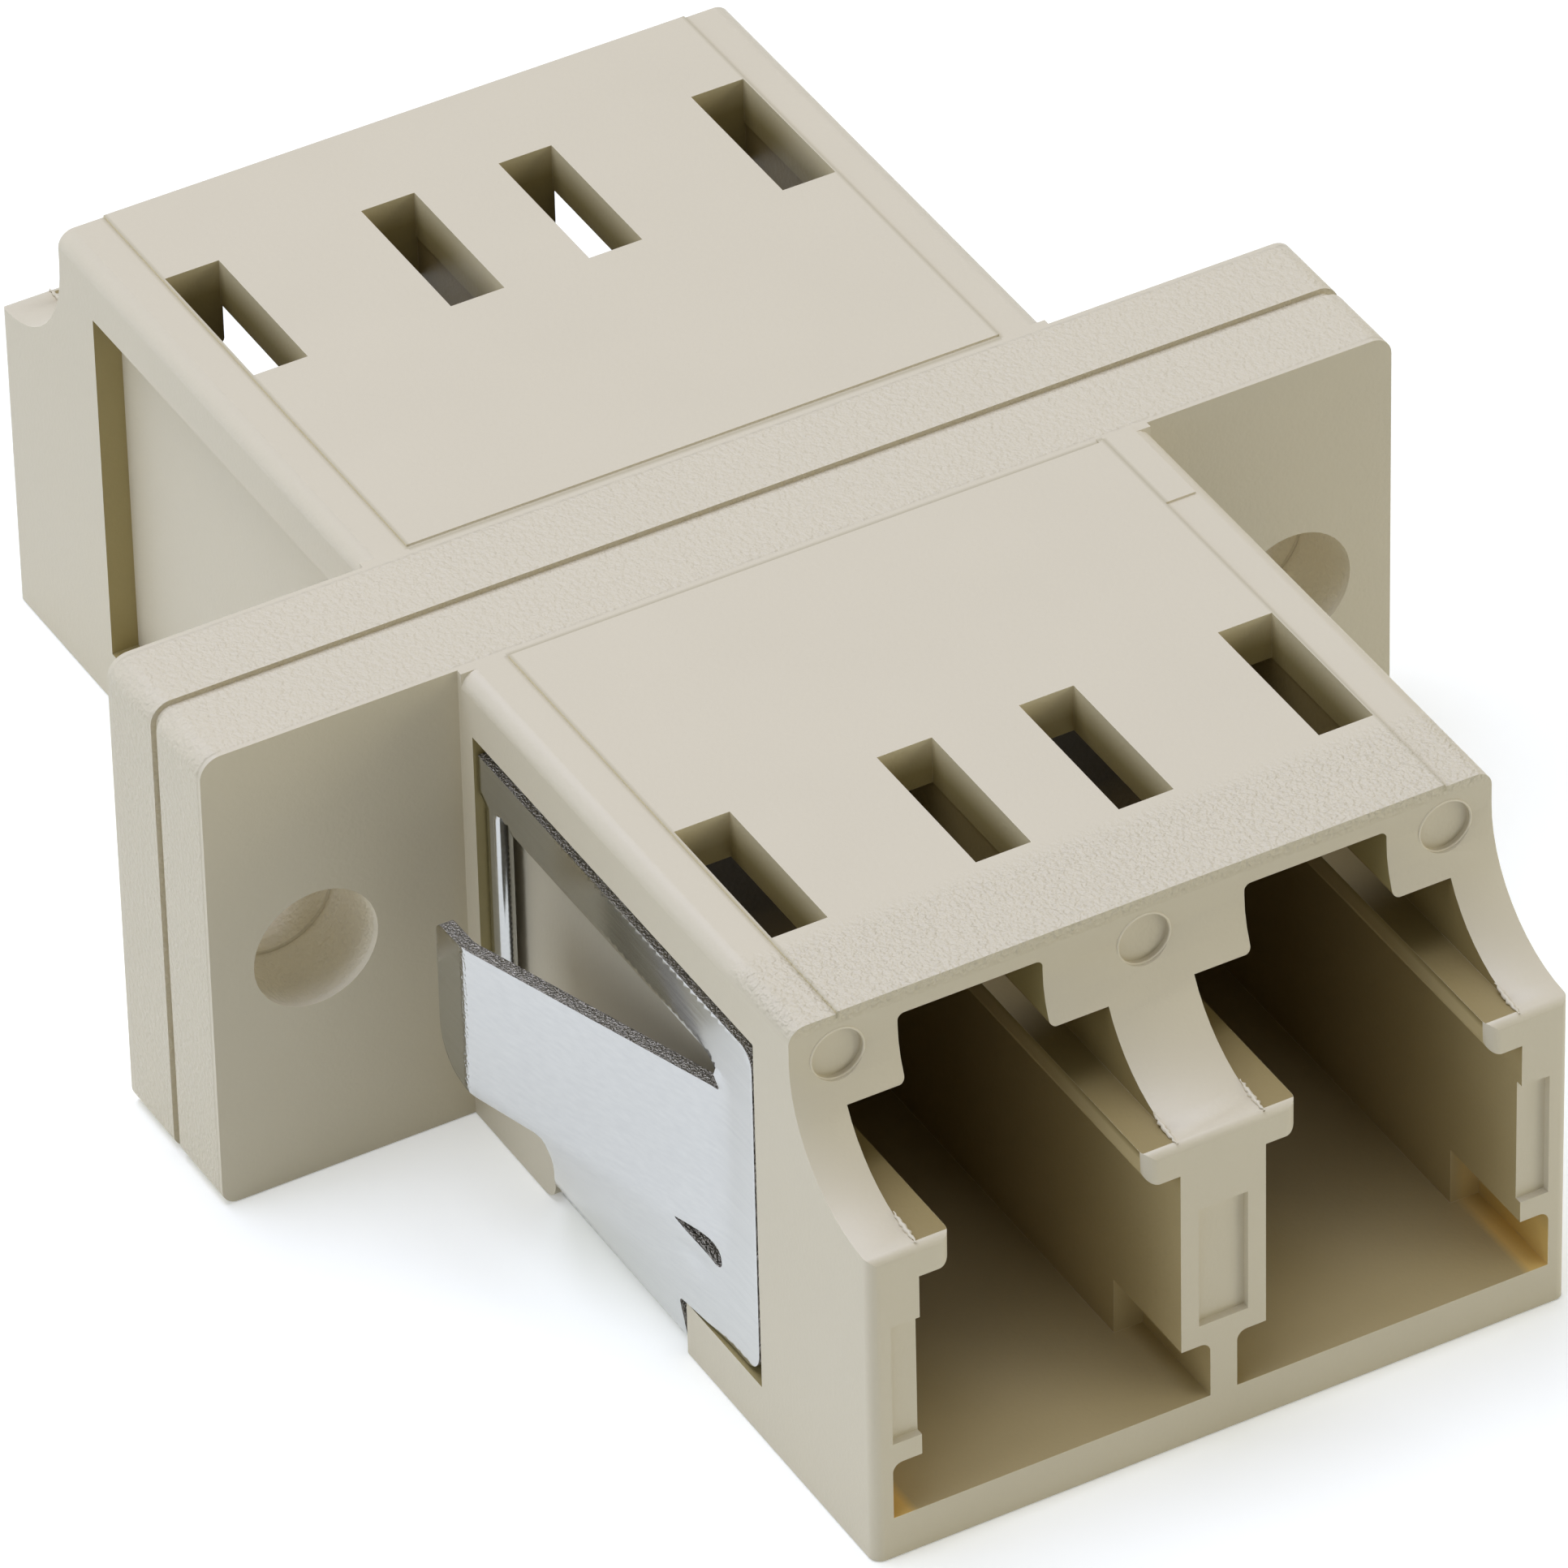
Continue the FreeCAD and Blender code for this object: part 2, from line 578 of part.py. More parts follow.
def split_sleeve(tag, label, axis_x):
    """Thin tube with one slit along its top, centred on the weld plane."""
    half = sleeve_length / 2
    tube = rod(tag + "tube", "Y", (axis_x, -half, axis_height), sleeve_outer / 2, sleeve_length)
    bore = rod(tag + "bore", "Y", (axis_x, -half - PAST, axis_height), sleeve_bore / 2, sleeve_length + 2 * PAST)
    slit = block(tag + "slit", (axis_x - sleeve_slit / 2, axis_x + sleeve_slit / 2),
                 (-half - PAST, half + PAST), (axis_height, axis_height + sleeve_outer))
    sleeve = cut(tag + "sleeve", tube, [bore, slit])
    sleeve.Label = label
    return sleeve


# The rear pieces are made like the front ones and turned half a turn about the vertical axis.
HALF_TURN = FreeCAD.Placement(FreeCAD.Vector(0, 0, 0), FreeCAD.Rotation(FreeCAD.Vector(0, 0, 1), 180))
front = [housing("front_", "front_housing", True), spring_clip()]
rear = [housing("rear_", "rear_housing", False)]
for end, side in (("left", -1), ("right", 1)):
    axis_x = side * port_pitch / 2
    front.append(sleeve_holder("front_%s_" % end, "sleeve_holder_front_" + end, axis_x))
    front.append(split_sleeve(end + "_", "split_sleeve_" + end, axis_x))
    rear.append(sleeve_holder("rear_%s_" % end, "sleeve_holder_rear_" + end, -axis_x))
for piece in rear:
    piece.Placement = HALF_TURN
doc.recompute()

for obj in doc.Objects:
    if "Invalid" in obj.State or "Error" in obj.State:
        raise RuntimeError("%s can't be built: %s" % (obj.Name, obj.State))
    if hasattr(obj, "Shape") and (obj.Shape.isNull() or not obj.Shape.isValid()):
        raise RuntimeError("%s has no sound shape" % obj.Name)
os.makedirs("parts", exist_ok=True)
for piece in front + rear:
    if len(piece.Shape.Solids) != 1:
        raise RuntimeError("%s has %d solids" % (piece.Label, len(piece.Shape.Solids)))
    piece.Shape.exportStep("parts/%s.step" % piece.Label)
    box = piece.Shape.BoundBox
    print("%-26s volume %9.3f  x %.3f %.3f  y %.3f %.3f  z %.3f %.3f" % (
        piece.Label, piece.Shape.Volume, box.XMin, box.XMax, box.YMin, box.YMax, box.ZMin, box.ZMax))
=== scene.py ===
# %% [markdown]
# # A duplex fibre coupler in pale moulded plastic
# Two identical mouldings are welded flange to flange. A folded spring clip is wrapped round the front one.
# The CAD frame already has every piece at its real size, so this file works on what the eye reads:
# softened mould edges, the warm tones inside the plastic (painted shade and painted light), the bright sheet of
# the clip, and soft light.

# %% Load the frame
import math

import bpy
import bmesh
from mathutils import Matrix, Vector
from mathutils.geometry import delaunay_2d_cdt


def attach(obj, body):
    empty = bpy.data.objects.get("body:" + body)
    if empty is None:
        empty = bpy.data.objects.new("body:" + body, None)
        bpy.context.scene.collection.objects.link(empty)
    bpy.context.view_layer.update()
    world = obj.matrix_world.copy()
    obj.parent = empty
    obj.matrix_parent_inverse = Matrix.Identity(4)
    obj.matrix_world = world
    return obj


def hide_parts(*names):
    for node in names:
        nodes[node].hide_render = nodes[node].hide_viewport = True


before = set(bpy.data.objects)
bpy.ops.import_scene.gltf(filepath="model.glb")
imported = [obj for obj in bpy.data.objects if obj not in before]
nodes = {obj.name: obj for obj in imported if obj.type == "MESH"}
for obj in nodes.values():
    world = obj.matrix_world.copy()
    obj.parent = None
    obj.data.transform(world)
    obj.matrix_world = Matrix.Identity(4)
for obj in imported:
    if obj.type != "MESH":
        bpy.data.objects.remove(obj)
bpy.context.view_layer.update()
MM = 0.001
print("pieces in the frame:", sorted(nodes))

# %% [markdown]
# ## Camera
# The view is a long lens from the front left, a little under forty degrees above the table. Its place and turn
# were solved from window corners, holes and ledges, so they are given as three angles and one position.

# %% Camera


def camera_axes(azimuth, elevation, roll):
    """Right, up and backward directions of a camera, with angles in degrees."""
    az, el, ro = (math.radians(a) for a in (azimuth, elevation, roll))
    back = Vector((math.sin(az) * math.cos(el), -math.cos(az) * math.cos(el), math.sin(el)))
    right = (-back).cross(Vector((0, 0, 1))).normalized()
    up = right.cross(-back)
    return (math.cos(ro) * right + math.sin(ro) * up,
            math.cos(ro) * up - math.sin(ro) * right, back)


FOCAL_PIXELS = 18746.4
FRAME_PIXELS = 1932
AZIMUTH, ELEVATION, ROLL = -28.7047, 38.1, -1.4469
# Where the object's origin lies as the camera sees it, in millimetres.
ORIGIN_RIGHT, ORIGIN_DOWN, ORIGIN_AHEAD = -0.2551, 2.4677, 250.5424
right, up, back = camera_axes(AZIMUTH, ELEVATION, ROLL)
place = (back * ORIGIN_AHEAD + up * ORIGIN_DOWN - right * ORIGIN_RIGHT) * MM
lens = bpy.data.cameras.new("photo_view")
lens.sensor_width = 36
lens.lens = FOCAL_PIXELS / FRAME_PIXELS * lens.sensor_width
lens.clip_start = 0.01
camera = bpy.data.objects.new("photo_view", lens)
bpy.context.scene.collection.objects.link(camera)
camera.matrix_world = Matrix.Translation(place) @ Matrix((right, up, back)).transposed().to_4x4()
bpy.context.scene.camera = camera
bpy.context.scene.view_settings.view_transform = "Standard"
print("lens %.1f mm, %.0f mm away" % (lens.lens, place.length / MM))

# %% [markdown]
# ## Floor, world and lamps
# The table and the air round it are plain white. Light comes mostly from above, some from the left, and the
# front of the object is lit only by the room and the table, which is why it looks darker than the top.
# Camera rays and mirror rays see a brighter table, so the white comes from the table's own material.

# %% Floor and world
ROOM_LEVEL = 0.24  # how strongly the room lights the object, and the table's own glow
FLOOR_REACH = 1.5
FLOOR_DROP = 0.02 * MM


def shader_tree(owner):
    """Empty node tree of a material or world."""
    owner.use_nodes = True
    tree = owner.node_tree
    tree.nodes.clear()
    return tree


def node(tree, kind, **settings):
    """New node of a kind, with settings such as operation given by name."""
    made = tree.nodes.new(kind)
    for name, value in settings.items():
        setattr(made, name, value)
    return made


def math_node(tree, operation, first, second=None, clamp=False):
    """Output of one sum; each value is a number or another node's output. Clamp keeps it from nought to one."""
    made = node(tree, "ShaderNodeMath", operation=operation, use_clamp=clamp)
    for slot, value in enumerate((first, second)):
        if value is None:
            continue
        if isinstance(value, (int, float)):
            made.inputs[slot].default_value = value
        else:
            tree.links.new(value, made.inputs[slot])
    return made.outputs[0]


def seen_by_eye(tree):
    """One for rays from the camera, from a mirror and through glass, and nought for the rays that light things."""
    path = node(tree, "ShaderNodeLightPath")
    direct = math_node(tree, "MAXIMUM", path.outputs["Is Camera Ray"], path.outputs["Is Glossy Ray"])
    return math_node(tree, "MAXIMUM", direct, path.outputs["Is Transmission Ray"])


def table_material():
    """Matte white that also glows a little, but only to the eye."""
    material = bpy.data.materials.new("white_table")
    tree = shader_tree(material)
    link = tree.links.new
    glow = node(tree, "ShaderNodeEmission")
    link(math_node(tree, "MULTIPLY", seen_by_eye(tree), ROOM_LEVEL), glow.inputs["Strength"])
    matte = node(tree, "ShaderNodeBsdfDiffuse")
    matte.inputs["Color"].default_value = (0.91, 0.91, 0.82, 1)
    both = node(tree, "ShaderNodeAddShader")
    link(matte.outputs[0], both.inputs[0])
    link(glow.outputs[0], both.inputs[1])
    out = node(tree, "ShaderNodeOutputMaterial")
    link(both.outputs[0], out.inputs["Surface"])
    return material


floor_mesh = bpy.data.meshes.new("floor")
corners = [(x * FLOOR_REACH, y * FLOOR_REACH, -FLOOR_DROP) for x, y in ((-1, -1), (1, -1), (1, 1), (-1, 1))]
floor_mesh.from_pydata(corners, [], [(0, 1, 2, 3)])
floor = bpy.data.objects.new("floor", floor_mesh)
bpy.context.scene.collection.objects.link(floor)
floor_mesh.materials.append(table_material())

world = bpy.data.worlds.new("white_room")
bpy.context.scene.world = world
tree = shader_tree(world)
level = node(tree, "ShaderNodeMapRange")
level.inputs["To Min"].default_value = ROOM_LEVEL
level.inputs["To Max"].default_value = 1.0
tree.links.new(seen_by_eye(tree), level.inputs["Value"])
sky = node(tree, "ShaderNodeBackground")
sky.inputs["Color"].default_value = (0.99, 0.998, 0.945, 1)
tree.links.new(level.outputs["Result"], sky.inputs["Strength"])
tree.links.new(sky.outputs[0], node(tree, "ShaderNodeOutputWorld").inputs["Surface"])
print("floor and world made")

# %% Lamps


def softbox(name, where, side, watts, tint=(1, 1, 1)):
    """Square area lamp at a place in metres, aimed at the middle of the object."""
    light = bpy.data.lights.new(name, "AREA")
    light.size = side
    light.energy = watts
    light.color = tint
    lamp = bpy.data.objects.new(name, light)
    bpy.context.scene.collection.objects.link(lamp)
    where = Vector(where)
    lamp.matrix_world = Matrix.Translation(where) @ where.to_track_quat("Z", "Y").to_matrix().to_4x4()


softbox("overhead", (-0.03, 0.06, 0.30), side=0.26, watts=0.78, tint=(0.92, 0.965, 1.24))
softbox("left_fill", (-0.32, 0.02, 0.14), side=0.20, watts=0.30, tint=(0.885, 0.99, 1.28))
softbox("right_fill", (0.24, -0.22, 0.09), side=0.20, watts=0.27, tint=(1.0, 0.96, 0.80))
print("lamps placed")

# %% [markdown]
# ## Moulded grain as a node group
# Spark-eroded mould steel leaves a fine pebbled skin on the plastic. Every material here uses the same grain in
# its own size, so it is one group with its own inputs. It puts out a height and a patchy mask.

# %% Grain group


def group_socket(tree, name, way, kind="NodeSocketFloat", value=None):
    """Adds an input or output to a node group, with its first value."""
    socket = tree.interface.new_socket(name=name, in_out=way, socket_type=kind)
    if value is not None:
        socket.default_value = value
    return socket


def grain_group():
    """Fine noise for the height and broad noise for the patches, both on the same vector."""
    tree = bpy.data.node_groups.new("moulded_grain", "ShaderNodeTree")
    group_socket(tree, "Vector", "INPUT", "NodeSocketVector")
    group_socket(tree, "Grains per metre", "INPUT", value=9000.0)
    group_socket(tree, "Height", "OUTPUT")
    group_socket(tree, "Patches", "OUTPUT")
    source = node(tree, "NodeGroupInput")
    result = node(tree, "NodeGroupOutput")
    fine = node(tree, "ShaderNodeTexNoise")
    fine.inputs["Detail"].default_value = 1.5
    fine.inputs["Roughness"].default_value = 0.6
    tree.links.new(source.outputs["Vector"], fine.inputs["Vector"])
    tree.links.new(source.outputs["Grains per metre"], fine.inputs["Scale"])
    tree.links.new(fine.outputs["Fac"], result.inputs["Height"])
    broad = node(tree, "ShaderNodeTexNoise")
    broad.inputs["Scale"].default_value = 420.0
    broad.inputs["Detail"].default_value = 2.0
    tree.links.new(source.outputs["Vector"], broad.inputs["Vector"])
    tree.links.new(broad.outputs["Fac"], result.inputs["Patches"])
    return tree


GRAIN = grain_group()
print("grain group has", len(GRAIN.nodes), "nodes")

# %% [markdown]
# ## Small helpers for the materials
# A mask is a number from nought to one that says where a tone shows. It is worked out from the place on the
# object: a ramp starts at an edge and rises or falls with a slope, and masks are multiplied together.

# %% Helpers


def ramp(tree, value, edge, slope, falling=False):
    """Mask that rises from nought at the edge, or falls to nought there. The slope is per metre."""
    past = math_node(tree, "SUBTRACT", *((edge, value) if falling else (value, edge)))
    return math_node(tree, "MULTIPLY", past, slope, True)


def product(tree, first, *others):
    """All values multiplied together."""
    for other in others:
        first = math_node(tree, "MULTIPLY", first, other)
    return first


def away_from(tree, value, place):
    """Distance of a value from a place, never below nought."""
    return math_node(tree, "ABSOLUTE", math_node(tree, "SUBTRACT", value, place))


def mix_colour(tree, factor, first, second):
    """First colour where the factor is nought, second colour where it is one."""
    made = node(tree, "ShaderNodeMix", data_type="RGBA")
    for socket, value in ((made.inputs[0], factor), (made.inputs[6], first), (made.inputs[7], second)):
        if isinstance(value, bpy.types.NodeSocket):
            tree.links.new(value, socket)
        else:
            socket.default_value = value
    return made.outputs[2]


def linear(red, green, blue):
    """Colour from 0 to 255 as seen on a screen, turned to the linear values that shaders use."""
    parts = [c / 255 for c in (red, green, blue)]
    return tuple(c / 12.92 if c <= 0.04045 else ((c + 0.055) / 1.055) ** 2.4 for c in parts) + (1.0,)


def new_material(name, grains_per_metre):
    """Material with one Principled shader, object coordinates and the grain in its own size."""
    material = bpy.data.materials.new(name)
    tree = shader_tree(material)
    shader = node(tree, "ShaderNodeBsdfPrincipled")
    tree.links.new(shader.outputs[0], node(tree, "ShaderNodeOutputMaterial").inputs["Surface"])
    place = node(tree, "ShaderNodeTexCoord").outputs["Object"]
    grain = node(tree, "ShaderNodeGroup", node_tree=GRAIN)
    grain.inputs["Grains per metre"].default_value = grains_per_metre
    tree.links.new(place, grain.inputs["Vector"])
    return material, tree, shader, place, grain


def set_roughness(tree, shader, pattern, spread, least):
    """Roughness that follows a pattern, from the least value up over the spread."""
    rough = math_node(tree, "ADD", math_node(tree, "MULTIPLY", pattern, spread), least)
    tree.links.new(rough, shader.inputs["Roughness"])


def add_bump(tree, shader, height, strength, distance, below=None):
    """Bump on the shader, laid over the bump below it if there is one."""
    bump = node(tree, "ShaderNodeBump")
    bump.inputs["Strength"].default_value = strength
    bump.inputs["Distance"].default_value = distance
    tree.links.new(height, bump.inputs["Height"])
    if below:
        tree.links.new(below.outputs[0], bump.inputs["Normal"])
    tree.links.new(bump.outputs[0], shader.inputs["Normal"])
    return bump


print("helpers ready")

# %% [markdown]
# ## Beige plastic
# The polymer is pale and matte, and a little light passes through it: deep corners turn olive, not grey. So the
# outside is a plain colour with faint patches, and the port walls take a painted shade, an olive that deepens away
# from the mouth and darkens above the rails. Painted light glows through the wall where it is thinnest, low beside
# the outer foot of each mouth, and a painted shadow darkens the top of the end wall, which the windows look down
# on. All this is painted as tones, because light that really passes through the walls would take too long to work
# out. The pebbled skin shows on the band in front of the latch windows and on the rim of the flange, and is almost
# polished out elsewhere.

# %% Beige plastic
# Tones: painted light through a thin wall, painted shade above the rails in the arc-shaped hollow, painted shade
# along the panel's low step, painted shadow at the top of the end wall, and painted light on the windows' upper
# rims.
THIN_WALL_GLOW = linear(230, 196, 118)
HOLLOW_SHADE = linear(142, 125, 80)
STEP_SHADE = linear(160, 150, 118)
UNLIT = linear(58, 49, 29)
WINDOW_RIM_LIGHT = linear(212, 199, 160)
PATCH_TONE = 0.965
# Distances from the middle plane, sideways.
PANEL_HALF = 5.5 * MM
THIN_SIDE = 5.55 * MM
# Distances from the weld plane, lengthways.
FLANGE_FACE = 1.5 * MM
PANEL_ROOT = 1.635 * MM
END_WALL, END_WALL_REACH = 6.20 * MM, 0.05 * MM
DEEP_PORT = 7.5 * MM
FRONT_BAND = 10.2 * MM
PORT_FACE = 12.1 * MM
# Heights above the table.
THIN_FOOT = 2.2 * MM
UNLIT_FOOT = 4.6 * MM
RAIL_TOP = 5.95 * MM
WINDOW_FOOT = 8.5 * MM
TOP_SKIN = 8.85 * MM
PANEL_SKIRT = 8.97 * MM
STEP_WIDTH = 0.07 * MM


def painted_port_shading(tree, skin, deep_shade_colour, across, along, height):
    """Painted shade and painted light on the walls inside the ports, from the mouth to the end wall."""
    # Painted shade, deeper away from the mouth.
    skin = mix_colour(tree, ramp(tree, along, DEEP_PORT, 160.0), deep_shade_colour, skin)
    # Painted light where the wall is thinnest, low beside the mouth.
    thin = product(tree, ramp(tree, across, THIN_SIDE, 6000.0),
                   ramp(tree, height, THIN_FOOT, 1300.0, falling=True),
                   ramp(tree, along, PORT_FACE, 800.0))
    skin = mix_colour(tree, thin, skin, THIN_WALL_GLOW)
    # Painted shade above the rail top.
    skin = mix_colour(tree, ramp(tree, height, RAIL_TOP, 9000.0), skin, HOLLOW_SHADE)
    end_wall = math_node(tree, "LESS_THAN", away_from(tree, along, END_WALL), END_WALL_REACH)
    unlit = product(tree, end_wall, ramp(tree, height, UNLIT_FOOT, 600.0))
    return mix_colour(tree, unlit, skin, UNLIT)


def step_shade(tree, across, along, height):
    """Mask of the corner of the raised panel's low step, along its sides and where it meets the flange."""
    sideways = math_node(tree, "ADD", away_from(tree, across, PANEL_HALF),
                         math_node(tree, "LESS_THAN", along, PANEL_ROOT))
    on_panel = math_node(tree, "LESS_THAN", across, PANEL_HALF)
    lengthways = math_node(tree, "ADD", away_from(tree, along, PANEL_ROOT),
                           math_node(tree, "SUBTRACT", 1.0, on_panel))
    distance = math_node(tree, "MULTIPLY", math_node(tree, "MINIMUM", sideways, lengthways), 1 / STEP_WIDTH)
    near = math_node(tree, "SUBTRACT", 1.0, distance, True)
    return product(tree, near, math_node(tree, "GREATER_THAN", height, PANEL_SKIRT), 0.6)


def pebbled_area(tree, to_front, along, height):
    """How strongly the grain shows: the band in front of the front windows, and the rim of the flange."""
    band = product(tree, ramp(tree, to_front, FRONT_BAND, 2500.0), ramp(tree, height, TOP_SKIN, 8000.0))
    flange_rim = product(tree, ramp(tree, along, FLANGE_FACE, 20000.0, falling=True), 0.6)
    area = math_node(tree, "MAXIMUM", band, flange_rim)
    return math_node(tree, "ADD", math_node(tree, "MULTIPLY", area, 0.92), 0.08)


def moulded_plastic(name, body_colour, deep_shade_colour=None, lit_rims=False):
    """Beige polymer; the deep colour is the painted shade of the walls inside the ports, and lit rims are painted
    light on the upper walls of the windows.
    """
    material, tree, shader, place, grain = new_material(name, grains_per_metre=11000.0)
    shader.inputs["Specular IOR Level"].default_value = 0.42
    split = node(tree, "ShaderNodeSeparateXYZ")
    tree.links.new(place, split.inputs[0])
    across = math_node(tree, "ABSOLUTE", split.outputs["X"])
    along = math_node(tree, "ABSOLUTE", split.outputs["Y"])
    to_front = math_node(tree, "MULTIPLY", split.outputs["Y"], -1.0)
    height = split.outputs["Z"]
    darker = tuple(c * PATCH_TONE for c in body_colour[:3]) + (1,)
    skin = mix_colour(tree, grain.outputs["Patches"], darker, body_colour)
    if deep_shade_colour:
        skin = painted_port_shading(tree, skin, deep_shade_colour, across, along, height)
    skin = mix_colour(tree, step_shade(tree, across, along, height), skin, STEP_SHADE)
    # Painted light on the upper walls of the windows.
    if lit_rims:
        skin = mix_colour(tree, ramp(tree, height, WINDOW_FOOT, 1600.0), skin, WINDOW_RIM_LIGHT)
    tree.links.new(skin, shader.inputs["Base Color"])
    relief = product(tree, grain.outputs["Height"], pebbled_area(tree, to_front, along, height))
    add_bump(tree, shader, relief, strength=0.8, distance=0.08 * MM)
    set_roughness(tree, shader, grain.outputs["Patches"], spread=0.10, least=0.42)
    return material


BEIGE = moulded_plastic("beige_plastic", linear(207, 197, 171))
# The rounded edges, the flash rings and the weld beads take this lighter tone: a painted highlight.
EDGE_HIGHLIGHT = moulded_plastic("beige_rim_painted_highlight", linear(220, 210, 185))
# Port walls: a darker body colour and a deep colour, both painted shade, with painted light through the thinnest
# wall.
PORT_SHADE_AND_GLOW = moulded_plastic("beige_port_painted_shade_and_glow", linear(186, 168, 121), linear(131, 112, 71))
# Recess and window walls: a darker olive, painted shade, with painted light on the windows' upper rims.
RECESS_WALL_SHADE = moulded_plastic("beige_recess_wall_painted_shade", linear(160, 145, 96), lit_rims=True)
# Screw hole walls: a brighter tone, painted light.
HOLE_WALL_LIGHT = moulded_plastic("beige_hole_wall_painted_light", linear(238, 229, 206))
HOLDER = moulded_plastic("holder_plastic", linear(190, 176, 142))
print("plastics made")

# %% [markdown]
# ## Sheet steel and ceramic
# The clip is bright rolled strip: almost a mirror, with faint lines along the rolling direction and long, soft
# waves that bend its reflections. The split sleeve is ground white ceramic, smooth and dense.

# %% Sheet steel and ceramic
# The line where the leaf's end is bent back, and how far out the leaf stands there.
BEND_Y = -4.40 * MM
LEAF_STANDS = 7.5 * MM


def sheared_edge():
    """Torn, dull steel where the stamping tool cut the sheet."""
    material, tree, shader, place, grain = new_material("sheared_edge", grains_per_metre=24000.0)
    shader.inputs["Metallic"].default_value = 1.0
    tone = mix_colour(tree, grain.outputs["Height"], linear(48, 44, 38), linear(188, 183, 176))
    tree.links.new(tone, shader.inputs["Base Color"])
    set_roughness(tree, shader, grain.outputs["Height"], spread=0.3, least=0.22)
    add_bump(tree, shader, grain.outputs["Height"], strength=1.0, distance=0.10 * MM)
    return material


def noise(tree, place, scale):
    """Plain noise with a number of bumps per metre."""
    made = node(tree, "ShaderNodeTexNoise")
    made.inputs["Scale"].default_value = scale
    made.inputs["Detail"].default_value = 2.0
    tree.links.new(place, made.inputs["Vector"])
    return made.outputs["Fac"]


def spring_steel():
    """Rolled strip with fine lines, soft waves and a little tear where the leaf's end is bent back."""
    material, tree, shader, place, torn = new_material("spring_steel", grains_per_metre=17000.0)
    shader.inputs["Metallic"].default_value = 1.0
    stretch = node(tree, "ShaderNodeMapping")
    stretch.inputs["Scale"].default_value = (1.0, 0.06, 1.0)
    tree.links.new(place, stretch.inputs["Vector"])
    lines = noise(tree, stretch.outputs[0], 14000.0)
    waves = noise(tree, place, 260.0)
    tree.links.new(mix_colour(tree, lines, linear(190, 191, 190), linear(203, 204, 202)),
                   shader.inputs["Base Color"])
    set_roughness(tree, shader, lines, spread=0.12, least=0.10)
    split = node(tree, "ShaderNodeSeparateXYZ")
    tree.links.new(place, split.inputs[0])
    from_bend = math_node(tree, "MULTIPLY", away_from(tree, split.outputs["Y"], BEND_Y), 8000.0)
    at_bend = math_node(tree, "SUBTRACT", 1.0, from_bend, True)
    on_leaf = ramp(tree, math_node(tree, "ABSOLUTE", split.outputs["X"]), LEAF_STANDS, 8000.0)
    torn_part = product(tree, torn.outputs["Height"], at_bend, on_leaf)
    tear = add_bump(tree, shader, torn_part, strength=0.8, distance=0.06 * MM)
    ripple = add_bump(tree, shader, waves, strength=0.35, distance=0.05 * MM, below=tear)
    add_bump(tree, shader, lines, strength=0.12, distance=0.004 * MM, below=ripple)
    return material


def ceramic():
    """Ground white ceramic, with a thin gloss over faint patches."""
    material, tree, shader, place, grain = new_material("sleeve_ceramic", grains_per_metre=16000.0)
    shader.inputs["Coat Weight"].default_value = 0.3
    tree.links.new(mix_colour(tree, grain.outputs["Patches"], linear(232, 230, 224), linear(242, 240, 235)),
                   shader.inputs["Base Color"])
    set_roughness(tree, shader, grain.outputs["Patches"], spread=0.12, least=0.20)
    return material


STEEL = spring_steel()
SHEARED = sheared_edge()
CERAMIC = ceramic()
print("steel and ceramic made")

# %% [markdown]
# ## Mouldings with softened edges
# The CAD edges are exact, and a real mould leaves a radius of a few hundredths of a millimetre on each. A copy
# of each CAD mesh is merged, its flat faces are joined, and a Bevel modifier rounds what turns sharply.

# %% Soften
HOLE_X, HOLE_Z, HOLE_REACH = 9.1, 4.55, 1.2
# Boxes that hold the walls of one kind, in millimetres from the middle: across, along and height.
RECESS = ((5.84, 6.30), (1.9, 11.2), (1.0, 8.2))
WINDOWS = ((-math.inf, 5.7), (6.5, 10.7), (7.3, math.inf))
MOUTH_FACE = ((-math.inf, math.inf), (12.1, math.inf), (6.0, math.inf))
MOUTHS = ((-math.inf, 6.1), (12.4, 14.4), (0.7, 8.62))
PORTS = ((-math.inf, 5.7), (2.3, 14.4), (0.7, 8.62))
# The plastics of a moulding, and the number of each: outside, rounded edge with a painted highlight, port with
# painted shade and light, recess or window with painted shade, screw hole with painted light.
PLASTICS = (BEIGE, EDGE_HIGHLIGHT, PORT_SHADE_AND_GLOW, RECESS_WALL_SHADE, HOLE_WALL_LIGHT)
OUTSIDE, ROUNDED, CORE, WALL, HOLE = range(5)
EDGE_RADIUS = 0.09 * MM
SHARP_TURN = math.radians(28)


def in_box(place, box):
    """Whether a place lies between the two limits of a box in all three directions."""
    return all(low < value < high for value, (low, high) in zip(place, box))


def face_finish(face):
    """Which of the plastics a face takes, by where it lies and which way it looks."""
    place = abs(face.center.x) / MM, abs(face.center.y) / MM, face.center.z / MM
    if in_box(place, RECESS) and abs(face.normal.x) < 0.5:
        return WALL
    if in_box(place, WINDOWS) and abs(face.normal.z) < 0.5:
        return WALL
    if math.hypot(place[0] - HOLE_X, place[2] - HOLE_Z) < HOLE_REACH and abs(face.normal.y) < 0.5:
        return HOLE
    if in_box(place, MOUTH_FACE):
        return OUTSIDE
    return CORE if in_box(place, MOUTHS) or in_box(place, PORTS) else OUTSIDE


